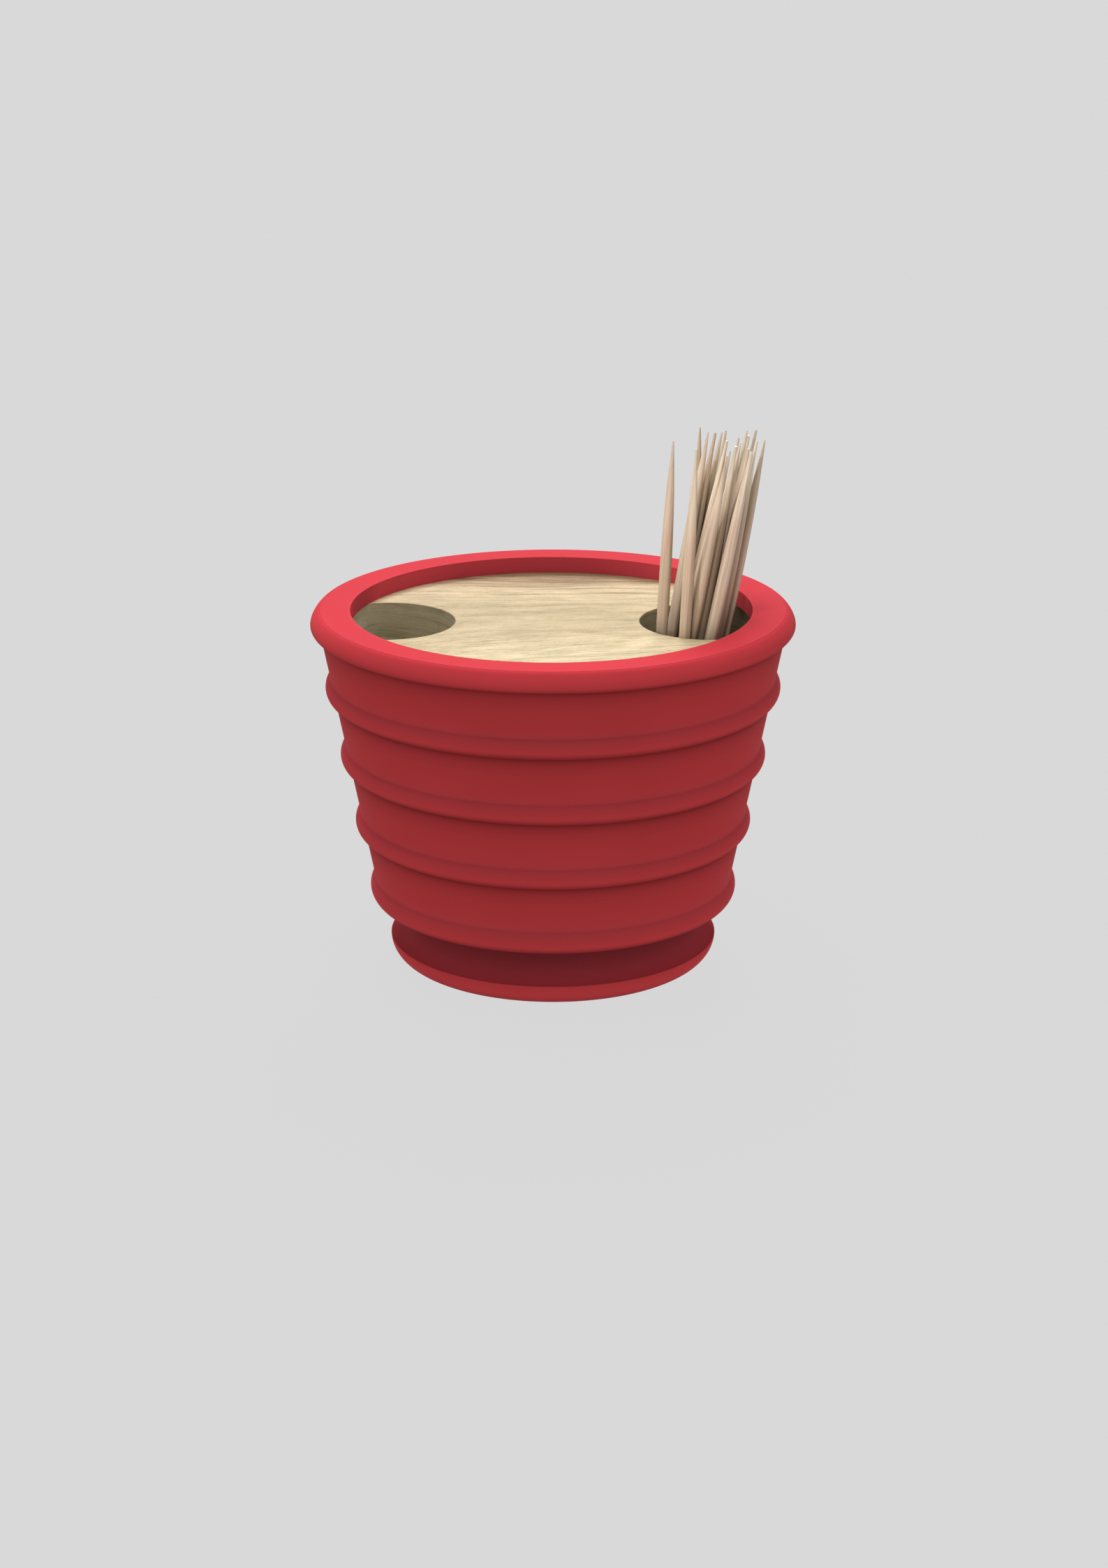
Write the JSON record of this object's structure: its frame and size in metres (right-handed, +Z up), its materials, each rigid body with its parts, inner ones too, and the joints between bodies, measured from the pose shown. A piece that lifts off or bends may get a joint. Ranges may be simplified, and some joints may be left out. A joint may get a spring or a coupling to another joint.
{
  "type": "toothpick dispenser",
  "caption": "Round tapered toothpick dispenser: a ribbed elastic cup grips a turned wooden insert whose round pockets hold loose double-pointed toothpicks.",
  "frame": {"origin": "centre of the base, on the surface it stands on", "axes": "+Z up through the rim, +X towards the pocket with the toothpicks, -Y towards the viewer"},
  "size_m": [0.08, 0.08, 0.0894],
  "materials": {
    "red_silicone": "matte",
    "insert_wood": "sanded, oiled",
    "toothpick_wood": "raw"
  },
  "bodies": {
    "holder": {"silicone_cup": "red_silicone", "wood_insert": "insert_wood"},
    "toothpick_01": {"toothpick_01": "toothpick_wood"},
    "toothpick_02": {"toothpick_02": "toothpick_wood"},
    "toothpick_03": {"toothpick_03": "toothpick_wood"},
    "toothpick_04": {"toothpick_04": "toothpick_wood"},
    "toothpick_05": {"toothpick_05": "toothpick_wood"},
    "toothpick_06": {"toothpick_06": "toothpick_wood"},
    "toothpick_07": {"toothpick_07": "toothpick_wood"},
    "toothpick_08": {"toothpick_08": "toothpick_wood"},
    "toothpick_09": {"toothpick_09": "toothpick_wood"},
    "toothpick_10": {"toothpick_10": "toothpick_wood"},
    "toothpick_11": {"toothpick_11": "toothpick_wood"},
    "toothpick_12": {"toothpick_12": "toothpick_wood"},
    "toothpick_13": {"toothpick_13": "toothpick_wood"},
    "toothpick_14": {"toothpick_14": "toothpick_wood"},
    "toothpick_15": {"toothpick_15": "toothpick_wood"},
    "toothpick_16": {"toothpick_16": "toothpick_wood"},
    "toothpick_17": {"toothpick_17": "toothpick_wood"},
    "toothpick_18": {"toothpick_18": "toothpick_wood"},
    "toothpick_19": {"toothpick_19": "toothpick_wood"},
    "toothpick_20": {"toothpick_20": "toothpick_wood"}
  },
  "joints": [
    {"name": "toothpick_01_lift", "type": "slide", "parent": "holder", "child": "toothpick_01", "axis": [0.0447, -0.0894, 0.995], "range_m": [0, 0.066]},
    {"name": "toothpick_02_lift", "type": "slide", "parent": "holder", "child": "toothpick_02", "axis": [0.0442, -0.0852, 0.9954], "range_m": [0, 0.066]},
    {"name": "toothpick_03_lift", "type": "slide", "parent": "holder", "child": "toothpick_03", "axis": [0.0292, -0.0922, 0.9953], "range_m": [0, 0.066]},
    {"name": "toothpick_04_lift", "type": "slide", "parent": "holder", "child": "toothpick_04", "axis": [0.1638, 0.0124, 0.9864], "range_m": [0, 0.066]},
    {"name": "toothpick_05_lift", "type": "slide", "parent": "holder", "child": "toothpick_05", "axis": [0.1806, 0.0109, 0.9835], "range_m": [0, 0.066]},
    {"name": "toothpick_06_lift", "type": "slide", "parent": "holder", "child": "toothpick_06", "axis": [0.1891, 0.0043, 0.9819], "range_m": [0, 0.066]},
    {"name": "toothpick_07_lift", "type": "slide", "parent": "holder", "child": "toothpick_07", "axis": [0.1335, -0.0483, 0.9899], "range_m": [0, 0.066]},
    {"name": "toothpick_08_lift", "type": "slide", "parent": "holder", "child": "toothpick_08", "axis": [0.1921, -0.0184, 0.9812], "range_m": [0, 0.066]},
    {"name": "toothpick_09_lift", "type": "slide", "parent": "holder", "child": "toothpick_09", "axis": [0.1631, -0.1445, 0.976], "range_m": [0, 0.066]},
    {"name": "toothpick_10_lift", "type": "slide", "parent": "holder", "child": "toothpick_10", "axis": [0.2095, -0.0607, 0.9759], "range_m": [0, 0.066]},
    {"name": "toothpick_11_lift", "type": "slide", "parent": "holder", "child": "toothpick_11", "axis": [0.1537, -0.1011, 0.9829], "range_m": [0, 0.066]},
    {"name": "toothpick_12_lift", "type": "slide", "parent": "holder", "child": "toothpick_12", "axis": [0.1516, -0.0544, 0.9869], "range_m": [0, 0.066]},
    {"name": "toothpick_13_lift", "type": "slide", "parent": "holder", "child": "toothpick_13", "axis": [0.1762, -0.057, 0.9827], "range_m": [0, 0.066]},
    {"name": "toothpick_14_lift", "type": "slide", "parent": "holder", "child": "toothpick_14", "axis": [0.1644, -0.0269, 0.986], "range_m": [0, 0.066]},
    {"name": "toothpick_15_lift", "type": "slide", "parent": "holder", "child": "toothpick_15", "axis": [0.155, -0.0713, 0.9853], "range_m": [0, 0.066]},
    {"name": "toothpick_16_lift", "type": "slide", "parent": "holder", "child": "toothpick_16", "axis": [0.1635, -0.0242, 0.9862], "range_m": [0, 0.066]},
    {"name": "toothpick_17_lift", "type": "slide", "parent": "holder", "child": "toothpick_17", "axis": [0.1858, -0.0811, 0.9792], "range_m": [0, 0.066]},
    {"name": "toothpick_18_lift", "type": "slide", "parent": "holder", "child": "toothpick_18", "axis": [0.1651, -0.0305, 0.9858], "range_m": [0, 0.066]},
    {"name": "toothpick_19_lift", "type": "slide", "parent": "holder", "child": "toothpick_19", "axis": [0.1739, -0.0382, 0.984], "range_m": [0, 0.066]},
    {"name": "toothpick_20_lift", "type": "slide", "parent": "holder", "child": "toothpick_20", "axis": [0.1817, -0.045, 0.9823], "range_m": [0, 0.066]}
  ]
}
